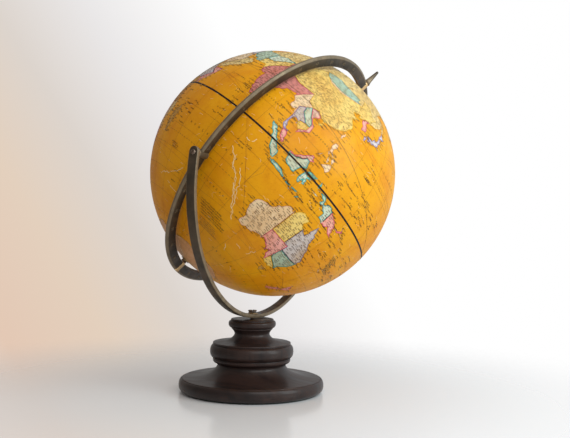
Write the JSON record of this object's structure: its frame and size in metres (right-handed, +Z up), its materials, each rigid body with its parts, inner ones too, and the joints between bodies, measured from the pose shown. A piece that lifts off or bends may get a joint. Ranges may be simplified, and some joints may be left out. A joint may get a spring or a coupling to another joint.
{
  "type": "desktop globe on stand",
  "caption": "Terrestrial ball globe in a full meridian ring, swinging in a half-round cradle bolted to a round turned wooden base.",
  "frame": {"origin": "centre of the face that the base rests on, on the base's axis", "axes": "+Z up; +Y from the cradle's front pivot towards its rear one; +X the side to which the cradle leans and the meridian ring's top is swung"},
  "size_m": [0.304, 0.3656, 0.4232],
  "materials": {
    "walnut": "dark walnut stain under satin lacquer",
    "felt": "dark felt",
    "bronze": "dark bronze, satin, rubbed at the edges",
    "screw": "darkened bronze",
    "brass": "dull brass",
    "steel": "dull zinc plate",
    "fibre": "vulcanised fibre",
    "map": "varnished printed paper, amber sea and pastel countries",
    "board": "bare board"
  },
  "bodies": {
    "base": {"base_felt": "felt", "base_foot": "walnut", "base_pedestal": "walnut", "base_bolt": "screw", "bolt_washer": "steel", "bolt_nut": "steel"},
    "cradle": {"cradle": "bronze", "seat_washer": "screw"},
    "ring": {"meridian_ring": "bronze", "pivot_screw_front": "screw", "pivot_screw_rear": "screw", "pivot_washer_front": "brass", "pivot_washer_rear": "brass", "north_pin": "steel", "south_pin": "steel", "north_finial": "bronze"},
    "ball": {"north_shell": "map", "south_shell": "map", "joining_hoop": "board", "north_grommet": "brass", "south_grommet": "brass", "north_washer": "fibre", "south_washer": "fibre"}
  },
  "joints": [
    {"name": "cradle_swivel", "type": "hinge", "parent": "base", "child": "cradle", "pos_m": [0, 0, 0.0902], "axis": [0, 0, 1], "continuous": true},
    {"name": "ring_swing", "type": "hinge", "parent": "cradle", "child": "ring", "pos_m": [0.01921, 0.01201, 0.27127], "axis": [-0.007, 0.9978, -0.0659], "range_deg": [-205, 144]},
    {"name": "ball_spin", "type": "hinge", "parent": "ring", "child": "ball", "pos_m": [0.01921, 0.01201, 0.27127], "axis": [0.5438, 0.4502, 0.7082], "continuous": true}
  ]
}
